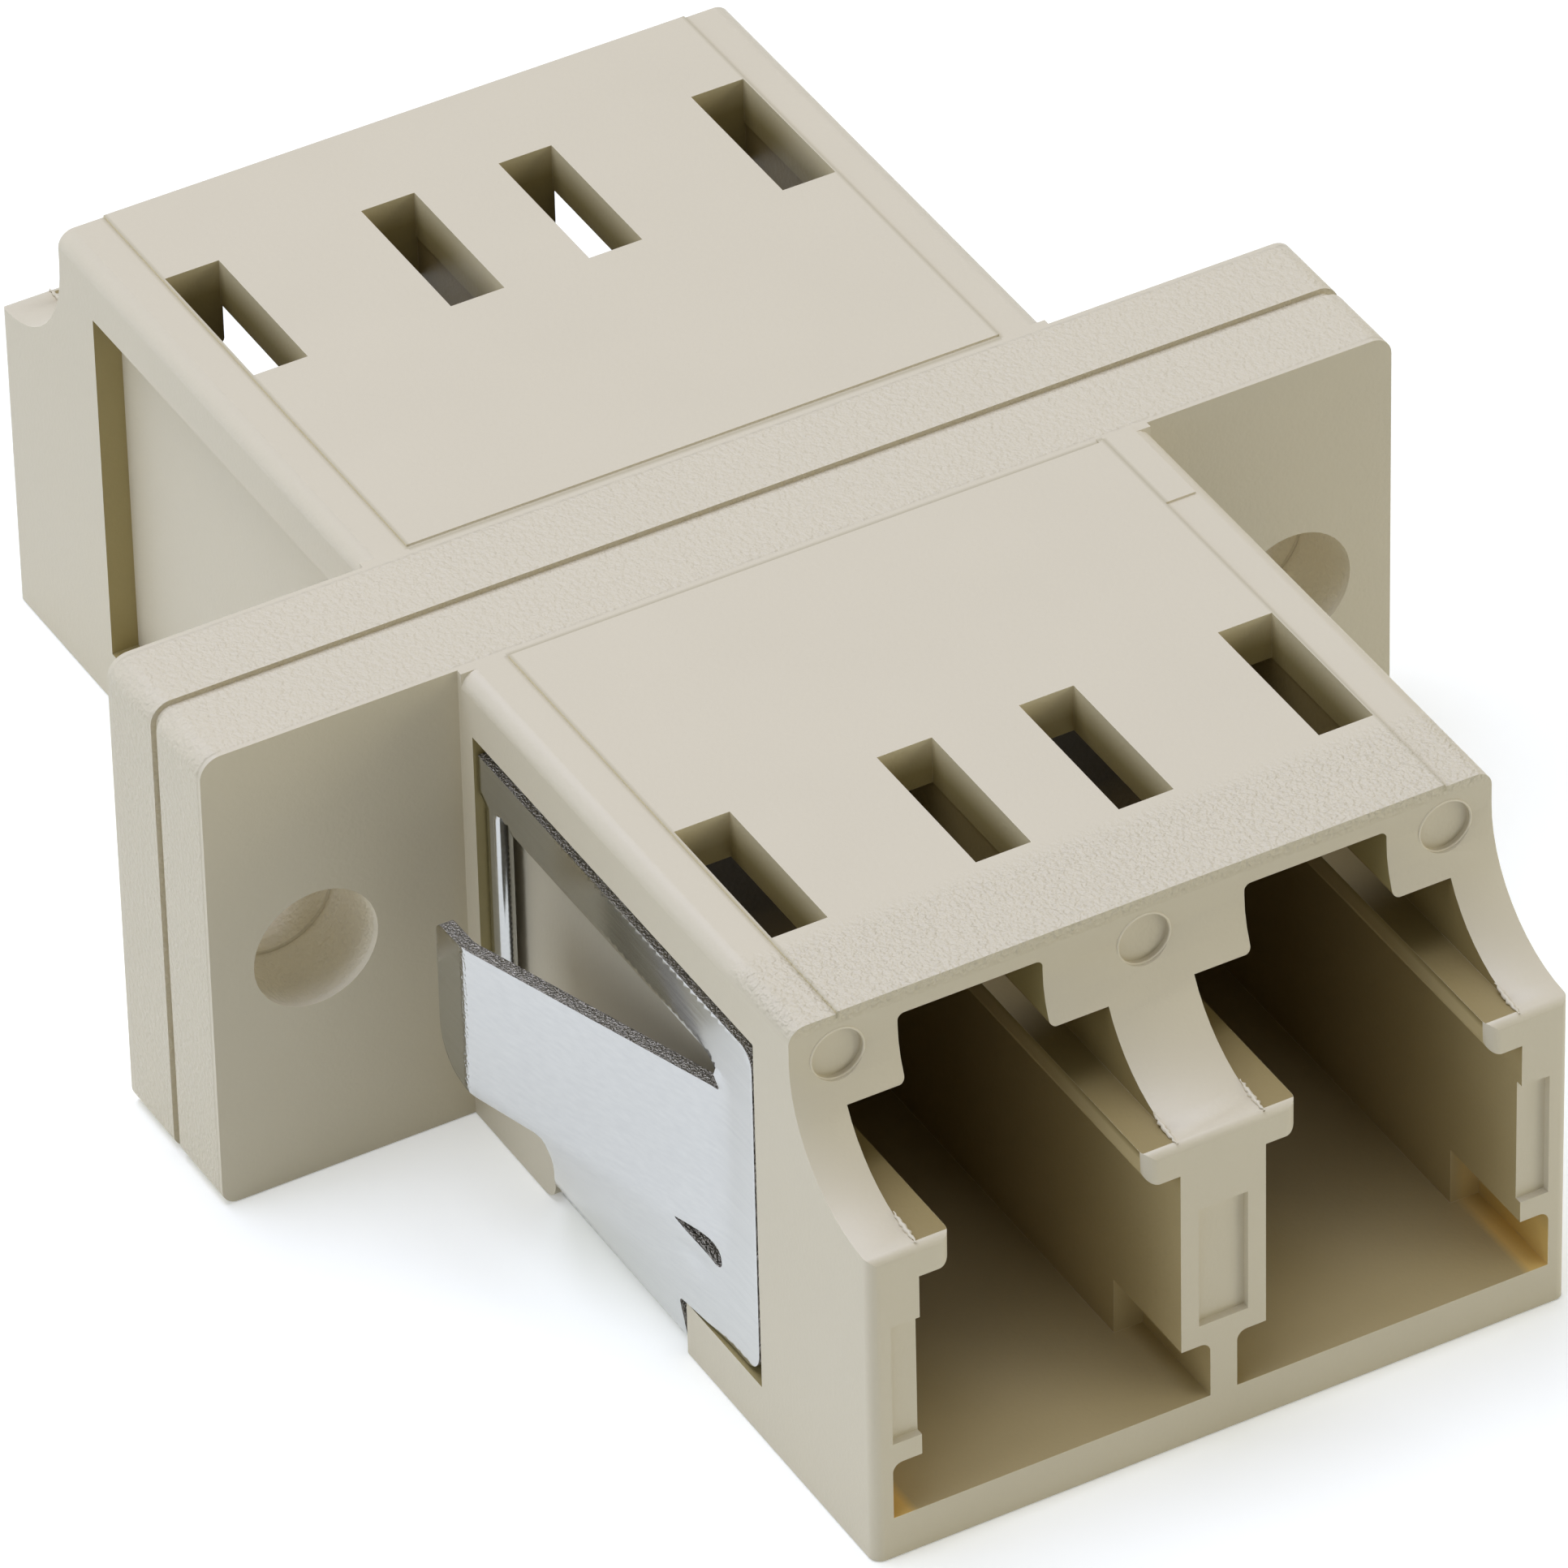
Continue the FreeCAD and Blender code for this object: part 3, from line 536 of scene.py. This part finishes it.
def softened(cad_name, new_name, radius, materials):
    """Copy of a CAD node with every sharp edge rounded; it stands for that node."""
    mesh = nodes[cad_name].data.copy()
    mesh.name = new_name
    shell = bmesh.new()
    shell.from_mesh(mesh)
    bmesh.ops.remove_doubles(shell, verts=shell.verts, dist=0.002 * MM)
    bmesh.ops.dissolve_limit(shell, angle_limit=math.radians(0.5), verts=shell.verts, edges=shell.edges)
    shell.to_mesh(mesh)
    shell.free()
    mesh.materials.clear()
    for material in materials:
        mesh.materials.append(material)
    for face in mesh.polygons:
        face.material_index = face_finish(face)
        face.use_smooth = True
    piece = bpy.data.objects.new(new_name, mesh)
    bpy.context.scene.collection.objects.link(piece)
    bevel = piece.modifiers.new("soft edges", "BEVEL")
    bevel.width = radius
    bevel.segments = 2
    bevel.limit_method = "ANGLE"
    bevel.angle_limit = SHARP_TURN
    bevel.use_clamp_overlap = True
    # The rounded strip takes the lighter plastic, a painted highlight.
    bevel.material = ROUNDED
    # Large faces keep their own direction, so the shading stays even up to the rounded edge.
    even = piece.modifiers.new("even shading", "WEIGHTED_NORMAL")
    even.weight = 100
    solid = bpy.data.meshes.new_from_object(piece.evaluated_get(bpy.context.evaluated_depsgraph_get()))
    piece.modifiers.clear()
    piece.data = solid
    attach(piece, "root")
    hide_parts(cad_name)
    print(new_name, "has", sum(len(face.vertices) - 2 for face in solid.polygons), "triangles")


softened("front_housing", "front_moulding", EDGE_RADIUS, PLASTICS)
softened("rear_housing", "rear_moulding", EDGE_RADIUS, PLASTICS)

# %% [markdown]
# ## Flash round the ejector marks
# Six round pins push the mouldings out of the mould, three on each port face. A thin ring of plastic creeps up
# round each pin. All six rings are the same, so they are one ring placed six times by Geometry Nodes, on a row
# of three points that a second row repeats half a turn away.

# %% Flash rings


def ring_tree():
    """Geometry Nodes tree that draws one ring and sets it on the six pins."""
    tree = bpy.data.node_groups.new("flash_rings", "GeometryNodeTree")
    group_socket(tree, "Geometry", "OUTPUT", "NodeSocketGeometry")
    for name, value in (("Pin Radius", 0.475 * MM), ("Flash Radius", 0.022 * MM), ("Spacing", 5.5 * MM),
                        ("Face", 12.2 * MM), ("Height", 8.28 * MM)):
        group_socket(tree, name, "INPUT", value=value)
    group_socket(tree, "Material", "INPUT", "NodeSocketMaterial")
    link = tree.links.new
    given = node(tree, "NodeGroupInput")
    spot = node(tree, "ShaderNodeCombineXYZ")
    link(math_node(tree, "MULTIPLY", given.outputs["Spacing"], -1.0), spot.inputs["X"])
    link(math_node(tree, "MULTIPLY", given.outputs["Face"], -1.0), spot.inputs["Y"])
    link(given.outputs["Height"], spot.inputs["Z"])
    step = node(tree, "ShaderNodeCombineXYZ")
    link(given.outputs["Spacing"], step.inputs["X"])
    row = node(tree, "GeometryNodeMeshLine")
    row.inputs["Count"].default_value = 3
    link(spot.outputs[0], row.inputs["Start Location"])
    link(step.outputs[0], row.inputs["Offset"])
    turned = node(tree, "GeometryNodeTransform")
    turned.inputs["Rotation"].default_value = (0, 0, math.pi)
    link(row.outputs["Mesh"], turned.inputs["Geometry"])
    rows = node(tree, "GeometryNodeJoinGeometry")
    link(row.outputs["Mesh"], rows.inputs[0])
    link(turned.outputs[0], rows.inputs[0])
    pin = node(tree, "GeometryNodeCurvePrimitiveCircle")
    pin.inputs["Resolution"].default_value = 48
    link(given.outputs["Pin Radius"], pin.inputs["Radius"])
    bead = node(tree, "GeometryNodeCurvePrimitiveCircle")
    bead.inputs["Resolution"].default_value = 8
    link(given.outputs["Flash Radius"], bead.inputs["Radius"])
    ring = node(tree, "GeometryNodeCurveToMesh")
    link(pin.outputs["Curve"], ring.inputs["Curve"])
    link(bead.outputs["Curve"], ring.inputs["Profile Curve"])
    placed = node(tree, "GeometryNodeInstanceOnPoints")
    placed.inputs["Rotation"].default_value = (math.pi / 2, 0, 0)
    link(rows.outputs[0], placed.inputs["Points"])
    link(ring.outputs[0], placed.inputs["Instance"])
    real = node(tree, "GeometryNodeRealizeInstances")
    link(placed.outputs[0], real.inputs[0])
    dressed = node(tree, "GeometryNodeSetMaterial")
    link(real.outputs[0], dressed.inputs["Geometry"])
    link(given.outputs["Material"], dressed.inputs["Material"])
    link(dressed.outputs[0], node(tree, "NodeGroupOutput").inputs["Geometry"])
    return tree


def flash_rings():
    """Runs the ring tree on an empty mesh and keeps what it makes."""
    mesh = bpy.data.meshes.new("ejector_flash")
    piece = bpy.data.objects.new("ejector_flash", mesh)
    bpy.context.scene.collection.objects.link(piece)
    rings = piece.modifiers.new("rings", "NODES")
    rings.node_group = ring_tree()
    # The rings take the lighter plastic, a painted highlight.
    for item in rings.node_group.interface.items_tree:
        if item.name == "Material":
            rings[item.identifier] = EDGE_HIGHLIGHT
    solid = bpy.data.meshes.new_from_object(piece.evaluated_get(bpy.context.evaluated_depsgraph_get()))
    piece.modifiers.clear()
    piece.data = solid
    for face in solid.polygons:
        face.use_smooth = True
    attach(piece, "root")
    print("six flash rings have", len(solid.polygons), "faces")


flash_rings()

# %% [markdown]
# The two halves meet inside the screw holes as well, where the weld leaves a thin bead round the hole.

# %% Weld beads in the screw holes
HOLE_RADIUS = 1.125
BEAD_RADIUS = 0.035
BEAD_STEPS, BEAD_SIDES = 64, 8


def bead_point(across, i, j):
    """Point j of ring i on the bead of the hole at this place across, in metres."""
    turn = 2 * math.pi * i / BEAD_STEPS
    roll = 2 * math.pi * j / BEAD_SIDES
    reach = HOLE_RADIUS + BEAD_RADIUS * math.cos(roll)
    return Vector((across + reach * math.cos(turn), BEAD_RADIUS * math.sin(roll),
                   HOLE_Z + reach * math.sin(turn))) * MM


def weld_beads():
    """One thin closed bead inside each screw hole, where the two halves meet."""
    shell = bmesh.new()
    for across in (-HOLE_X, HOLE_X):
        rings = [[shell.verts.new(bead_point(across, i, j)) for j in range(BEAD_SIDES)]
                 for i in range(BEAD_STEPS)]
        for a, b in zip(rings, rings[1:] + rings[:1]):
            for j in range(BEAD_SIDES):
                k = (j + 1) % BEAD_SIDES
                shell.faces.new((a[j], b[j], b[k], a[k])).smooth = True
    bmesh.ops.recalc_face_normals(shell, faces=shell.faces)
    mesh = bpy.data.meshes.new("weld_beads")
    shell.to_mesh(mesh)
    shell.free()
    # The bead takes the lighter plastic, a painted highlight that draws a light line in the hole.
    mesh.materials.append(EDGE_HIGHLIGHT)
    piece = bpy.data.objects.new("weld_beads", mesh)
    bpy.context.scene.collection.objects.link(piece)
    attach(piece, "root")
    print("weld beads have", len(mesh.polygons), "faces")


weld_beads()

# %% [markdown]
# The hollow of each port face ends in a ragged lip where two mould parts meet. Only its foot shows one. The lip
# follows the same arc as the hollow, so it is drawn as a poly curve on the low end of that arc, with a bead
# whose size wanders a little.

# %% Lips beside the crests
HOLLOW_CENTRE = (14.5, 8.4)
HOLLOW_RADIUS = 2.28
LIP_PLACES = (-5.46, -0.79, 0.79, 5.46)
LIP_START, LIP_LENGTH, LIP_STEPS = 72, 19, 14
LIP_RADIUS = 0.042 * MM


def lip_point(number, i):
    """Point i of a lip as (sway, along, height) in millimetres, and its thickness there."""
    angle = math.radians(LIP_START + LIP_LENGTH * i / LIP_STEPS)
    along = HOLLOW_CENTRE[0] - HOLLOW_RADIUS * math.cos(angle)
    height = HOLLOW_CENTRE[1] - HOLLOW_RADIUS * math.sin(angle)
    sway = 0.014 * math.sin(2.3 * i + 1.7 * number)
    thickness = 0.15 + 0.85 * math.sin(math.pi * i / LIP_STEPS) + 0.25 * math.sin(3.1 * i + number)
    return sway, along, height, thickness


def crest_lips():
    """Eight lips in one piece: two for each port, at both ends of the object."""
    curve = bpy.data.curves.new("crest_lips", "CURVE")
    curve.dimensions = "3D"
    curve.bevel_depth = LIP_RADIUS
    curve.bevel_resolution = 2
    for end in (-1, 1):
        for number, across in enumerate(LIP_PLACES):
            lip = curve.splines.new("POLY")
            lip.points.add(LIP_STEPS)
            for i, point in enumerate(lip.points):
                sway, along, height, thickness = lip_point(number, i)
                point.co = ((across + sway) * MM, end * along * MM, height * MM, 1)
                point.radius = thickness
    drawn = bpy.data.objects.new("crest_lips_curve", curve)
    bpy.context.scene.collection.objects.link(drawn)
    solid = bpy.data.meshes.new_from_object(drawn.evaluated_get(bpy.context.evaluated_depsgraph_get()))
    bpy.data.objects.remove(drawn)
    solid.name = "crest_lips"
    solid.materials.clear()
    solid.materials.append(BEIGE)
    for face in solid.polygons:
        face.use_smooth = True
    piece = bpy.data.objects.new("crest_lips", solid)
    bpy.context.scene.collection.objects.link(piece)
    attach(piece, "root")
    print("crest lips have", len(solid.polygons), "faces")


crest_lips()

# %% [markdown]
# ## The folded clip
# The clip is one strip of sheet, stamped flat and then folded. So it is made that way round: a flat outline with
# its window and barb slot is filled with small triangles, and each point is then folded into place. Solidify
# gives the sheet its thickness, and its rim takes the rough finish of a sheared edge.

# %% Flat outline of the clip
# All in millimetres: the side face, the sheet, the strap, the fold, then the leaf and the upright strip.
PLATE_X = 6.30
SHEET = 0.25
STRAP_Z = 0.05
FOLD = 0.25
SIDE_Z = STRAP_Z + FOLD
LEAF_ROOT, LEAF_BEND, LEAF_END = 9.88, 4.42, 3.54
LEAF_RISE = 1.64
# Distances from the middle of the strap to the fold and to the side face, along the unfolded sheet.
FOLD_START = PLATE_X - FOLD
SIDE_START = FOLD_START + FOLD * math.pi / 2
STRIP_MIDDLE = 2.46
STRIP_RADIUS = 0.20


def arc(centre, radius, start, stop, steps):
    """Points on a circle in the flat outline, with angles in degrees."""
    points = []
    for i in range(steps + 1):
        angle = math.radians(start + (stop - start) * i / steps)
        points.append((centre[0] + radius * math.cos(angle), centre[1] + radius * math.sin(angle)))
    return points


def bezier(a, b, c, d, steps=12):
    """Points on a cubic curve from a to d."""
    points = []
    for i in range(steps + 1):
        t = i / steps
        weights = ((1 - t) ** 3, 3 * t * (1 - t) ** 2, 3 * t * t * (1 - t), t ** 3)
        points.append(tuple(sum(w * p[k] for w, p in zip(weights, (a, b, c, d))) for k in (0, 1)))
    return points


def side_outline():
    """Outer edge of one side in millimetres: (distance from the weld plane, height), from strap to strap."""
    edge = [(4.38, SIDE_Z - 0.30)]
    edge += bezier((4.38, SIDE_Z), (4.90, 1.10), (5.92, 2.00), (5.98, 2.86))
    edge += [(5.94, 2.98), (5.80, 3.03), (4.62, 3.03)]
    edge += bezier((4.40, 3.04), (3.90, 3.12), (LEAF_END, 3.45), (LEAF_END, 4.00), 8)
    edge += arc((LEAF_END + 0.20, 5.98 - 0.20), 0.20, 180, 95, 6)
    edge += [(9.78, 6.235)] + arc((9.80, 6.275), 0.04, -90, 40, 6)
    edge += bezier((9.81, 6.33), (9.72, 6.44), (9.74, 6.66), (9.30, 6.74), 8)
    edge += [(2.98, 6.75)] + arc((2.98, 6.57), 0.18, 90, 180, 5)
    edge += [(2.80, 2.20), (2.05, 2.20), (2.05, 7.65)]
    edge += arc((10.88 - 0.35, 7.65 - 0.35), 0.35, 90, 0, 8)
    edge += arc((10.88 - 0.42, 1.12 + 0.42), 0.42, 0, -90, 8)
    edge += [(8.62, 1.12)] + arc((8.62, 1.00), 0.12, 90, 180, 5)
    edge += [(8.50, SIDE_Z - 0.30)]
    return edge


def barb_slot():
    """Edge of the slot beside the barb, in the same measures as the side."""
    return (bezier((8.80, 3.07), (9.10, 3.07), (9.50, 3.11), (9.67, 2.96), 8)
            + bezier((9.73, 2.90), (9.82, 2.76), (9.81, 2.57), (9.70, 2.54), 6)
            + bezier((9.60, 2.55), (9.43, 2.66), (9.16, 2.80), (8.82, 3.03), 8))


print("outline of a side has", len(side_outline()), "points")

# %% [markdown]
# The fold is a rule, not a drawing: how far a point stands off the side face depends on how far it lies along
# the leaf and how high it is. The web under the leaf fades from the flat strap to the full slope, so the sheet
# is twisted there and not creased. The upright strip at the back is turned in along its front edge, which shows
# one line of light. A shallow dent marks where the barb was pressed out.

# %% Fold the flat sheet
LEAF_TOP = 6.52
ROOT_TURN, BEND_TURN = 0.30, 0.16
WEB_TOP = 3.0
STRIP_FRONT, STRIP_FOOT, STRIP_TOP = 3.0, 2.0, 6.80
STRIP_BOW = 0.7
STRIP_LIP_SLOPE = 2.2
DENT_CENTRE, DENT_SPREAD, DENT_DEPTH = (9.15, 2.40), (0.42, 0.26), 0.07


def eased(value, reach):
    """Nought well below nought, the value well above it, and a soft turn twice the reach wide between them."""
    if value < -reach:
        return 0.0
    return value if value > reach else (value + reach) ** 2 / (4 * reach)


def standoff(along, height):
    """How far the sheet stands out of the side plane, in millimetres."""
    if along > LEAF_ROOT + 0.4 or height > LEAF_TOP or along < STRIP_FRONT:
        return 0.0
    slope = LEAF_RISE / (LEAF_ROOT - LEAF_BEND)
    risen = eased(LEAF_ROOT - along, ROOT_TURN) - eased(LEAF_BEND - along, BEND_TURN)
    # The web grows evenly with height and is rounded off as it comes to the full slope.
    web = min(max((height - SIDE_Z) / (WEB_TOP - SIDE_Z), 0.0), 1.1)
    web -= max(web - 0.9, 0.0) ** 2 / 0.4
    return slope * risen * web


def strip_turned_in(along, height):
    """How far the upright strip is drawn in, and how far along a point of it then lies, in millimetres."""
    drawn_in = STRIP_BOW * max(STRIP_MIDDLE - along, 0.0) ** 2
    if height > STRIP_FOOT and along > STRIP_MIDDLE:
        turn = min((along - STRIP_MIDDLE) / STRIP_RADIUS, math.pi / 2)
        drawn_in += STRIP_RADIUS * (1 - math.cos(turn))
        drawn_in += STRIP_LIP_SLOPE * max(along - STRIP_MIDDLE - STRIP_RADIUS * math.pi / 2, 0)
        along = STRIP_MIDDLE + STRIP_RADIUS * math.sin(turn)
    return drawn_in, along


def folded(u, along):
    """Place in millimetres of a point of the flat sheet; u runs across the strap and up both sides."""
    side = -1 if u < 0 else 1
    reach = abs(u)
    if reach <= FOLD_START:
        return Vector((u, -along, STRAP_Z))
    if reach < SIDE_START:
        turn = (reach - FOLD_START) / FOLD
        return Vector((side * (FOLD_START + FOLD * math.sin(turn)), -along, STRAP_Z + FOLD * (1 - math.cos(turn))))
    height = SIDE_Z + reach - SIDE_START
    across = PLATE_X + standoff(along, height)
    if along < STRIP_FRONT and height < STRIP_TOP:
        drawn_in, along = strip_turned_in(along, height)
        across -= drawn_in
    dent = math.exp(-(((along - DENT_CENTRE[0]) / DENT_SPREAD[0]) ** 2
                      + ((height - DENT_CENTRE[1]) / DENT_SPREAD[1]) ** 2))
    return Vector((side * (across - DENT_DEPTH * dent), -along, height))


print("the leaf stands off %.2f mm at its bend" % standoff(LEAF_BEND, LEAF_TOP))

# %% [markdown]
# A grid of points is laid over the flat sheet, with a border of points along every edge. Those inside the
# outline and outside the slots are joined to triangles. The plain strap underneath needs fewer of them.

# %% Fill the flat sheet
PITCH = 0.11
GRID_REACH, GRID_START, GRID_LENGTH = 14, 1.9, 9.2


def inside(point, loops):
    """Even-odd test of a flat point against closed loops."""
    hit = False
    x, y = point
    for loop in loops:
        for (x0, y0), (x1, y1) in zip(loop, loop[1:] + loop[:1]):
            if (y0 > y) != (y1 > y) and x < (x1 - x0) * (y - y0) / (y1 - y0) + x0:
                hit = not hit
    return hit


def unfolded_height(height):
    """Distance from the middle of the strap, along the flat sheet, of a height on the side."""
    return SIDE_START + height - SIDE_Z


def divided(loop):
    """Points of a closed loop with more of them set in, about one pitch apart."""
    fine = []
    for a, b in zip(loop, loop[1:] + loop[:1]):
        pieces = max(1, round(math.dist(a, b) / PITCH))
        fine += [tuple(a[k] + (b[k] - a[k]) * i / pieces for k in (0, 1)) for i in range(pieces)]
    return fine


def grid_spots(loops, border):
    """Points of the grid that lie on the sheet and not too near its border."""
    found = []
    for i in range(int(2 * GRID_REACH / PITCH)):
        for j in range(int(GRID_LENGTH / PITCH)):
            spot = (-GRID_REACH + (i + 0.5 * (j % 2)) * PITCH, GRID_START + j * PITCH)
            if FOLD_START - 1 > abs(spot[0]) and i % 3:
                continue
            if inside(spot, loops) and all(abs(spot[0] - q[0]) + abs(spot[1] - q[1]) > 0.5 * PITCH
                                           for q in border if abs(spot[0] - q[0]) < PITCH):
                found.append(spot)
    return found


def flat_clip():
    """Triangles of the flat sheet as (u, distance) points."""
    right_side = [(unfolded_height(z), y) for y, z in side_outline()]
    outline = right_side + [(-u, y) for u, y in reversed(right_side)]
    slot = [(unfolded_height(z), y) for y, z in barb_slot()]
    loops = [outline, slot, [(-u, y) for u, y in reversed(slot)]]
    border, edges = [], []
    for loop in loops:
        first = len(border)
        fine = divided(loop)
        border += fine
        edges += [(first + i, first + (i + 1) % len(fine)) for i in range(len(fine))]
    points = border + grid_spots(loops, border)
    spots, _, faces, *_ = delaunay_2d_cdt([Vector(q) for q in points], edges, [], 0, 1e-6)
    kept = []
    for face in faces:
        middle = [sum(spots[i][k] for i in face) / len(face) for k in (0, 1)]
        if inside(middle, loops):
            kept.append(face)
    return spots, kept


spots, faces = flat_clip()
print("flat sheet has", len(faces), "triangles")

# %% Thickness and rim of the clip
DEBURR_RADIUS = 0.022 * MM


def folded_clip():
    """The flat triangles folded, made as thick as the sheet and rounded at the rim; it stands for the CAD clip."""
    mesh = bpy.data.meshes.new("folded_clip")
    mesh.from_pydata([folded(u, along) * MM for u, along in spots], [], faces)
    mesh.materials.append(STEEL)
    mesh.materials.append(SHEARED)
    sheet = bmesh.new()
    sheet.from_mesh(mesh)
    bmesh.ops.remove_doubles(sheet, verts=sheet.verts, dist=0.001 * MM)
    bmesh.ops.recalc_face_normals(sheet, faces=sheet.faces)
    highest = max(sheet.faces, key=lambda face: face.calc_center_median().z)
    if highest.normal.x * highest.calc_center_median().x < 0:
        bmesh.ops.reverse_faces(sheet, faces=sheet.faces)
    sheet.to_mesh(mesh)
    sheet.free()
    clip = bpy.data.objects.new("folded_clip", mesh)
    bpy.context.scene.collection.objects.link(clip)
    thick = clip.modifiers.new("sheet", "SOLIDIFY")
    thick.thickness = SHEET * MM
    thick.offset = -1
    thick.use_even_offset = True
    thick.use_quality_normals = True
    thick.material_offset_rim = 1
    soft = clip.modifiers.new("deburred", "BEVEL")
    soft.width = DEBURR_RADIUS
    soft.segments = 2
    soft.limit_method = "ANGLE"
    soft.angle_limit = math.radians(50)
    solid = bpy.data.meshes.new_from_object(clip.evaluated_get(bpy.context.evaluated_depsgraph_get()))
    clip.modifiers.clear()
    clip.data = solid
    for face in solid.polygons:
        face.use_smooth = True
    solid.set_sharp_from_angle(angle=math.radians(40))
    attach(clip, "root")
    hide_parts("spring_clip")
    print("folded clip has", sum(len(face.vertices) - 2 for face in solid.polygons), "triangles")


folded_clip()

# %% [markdown]
# ## The pieces that keep their CAD mesh
# The sleeve holders and the sleeves keep their CAD shape and only take their finish.

# %% Finishes for the CAD nodes


def finish(cad_name, material):
    """Gives a CAD node its material and leaves its mesh alone."""
    mesh = nodes[cad_name].data
    mesh.materials.clear()
    mesh.materials.append(material)


for name in nodes:
    if name.startswith("sleeve_holder"):
        finish(name, HOLDER)
    if name.startswith("split_sleeve"):
        finish(name, CERAMIC)
print("holders and sleeves have their finish")
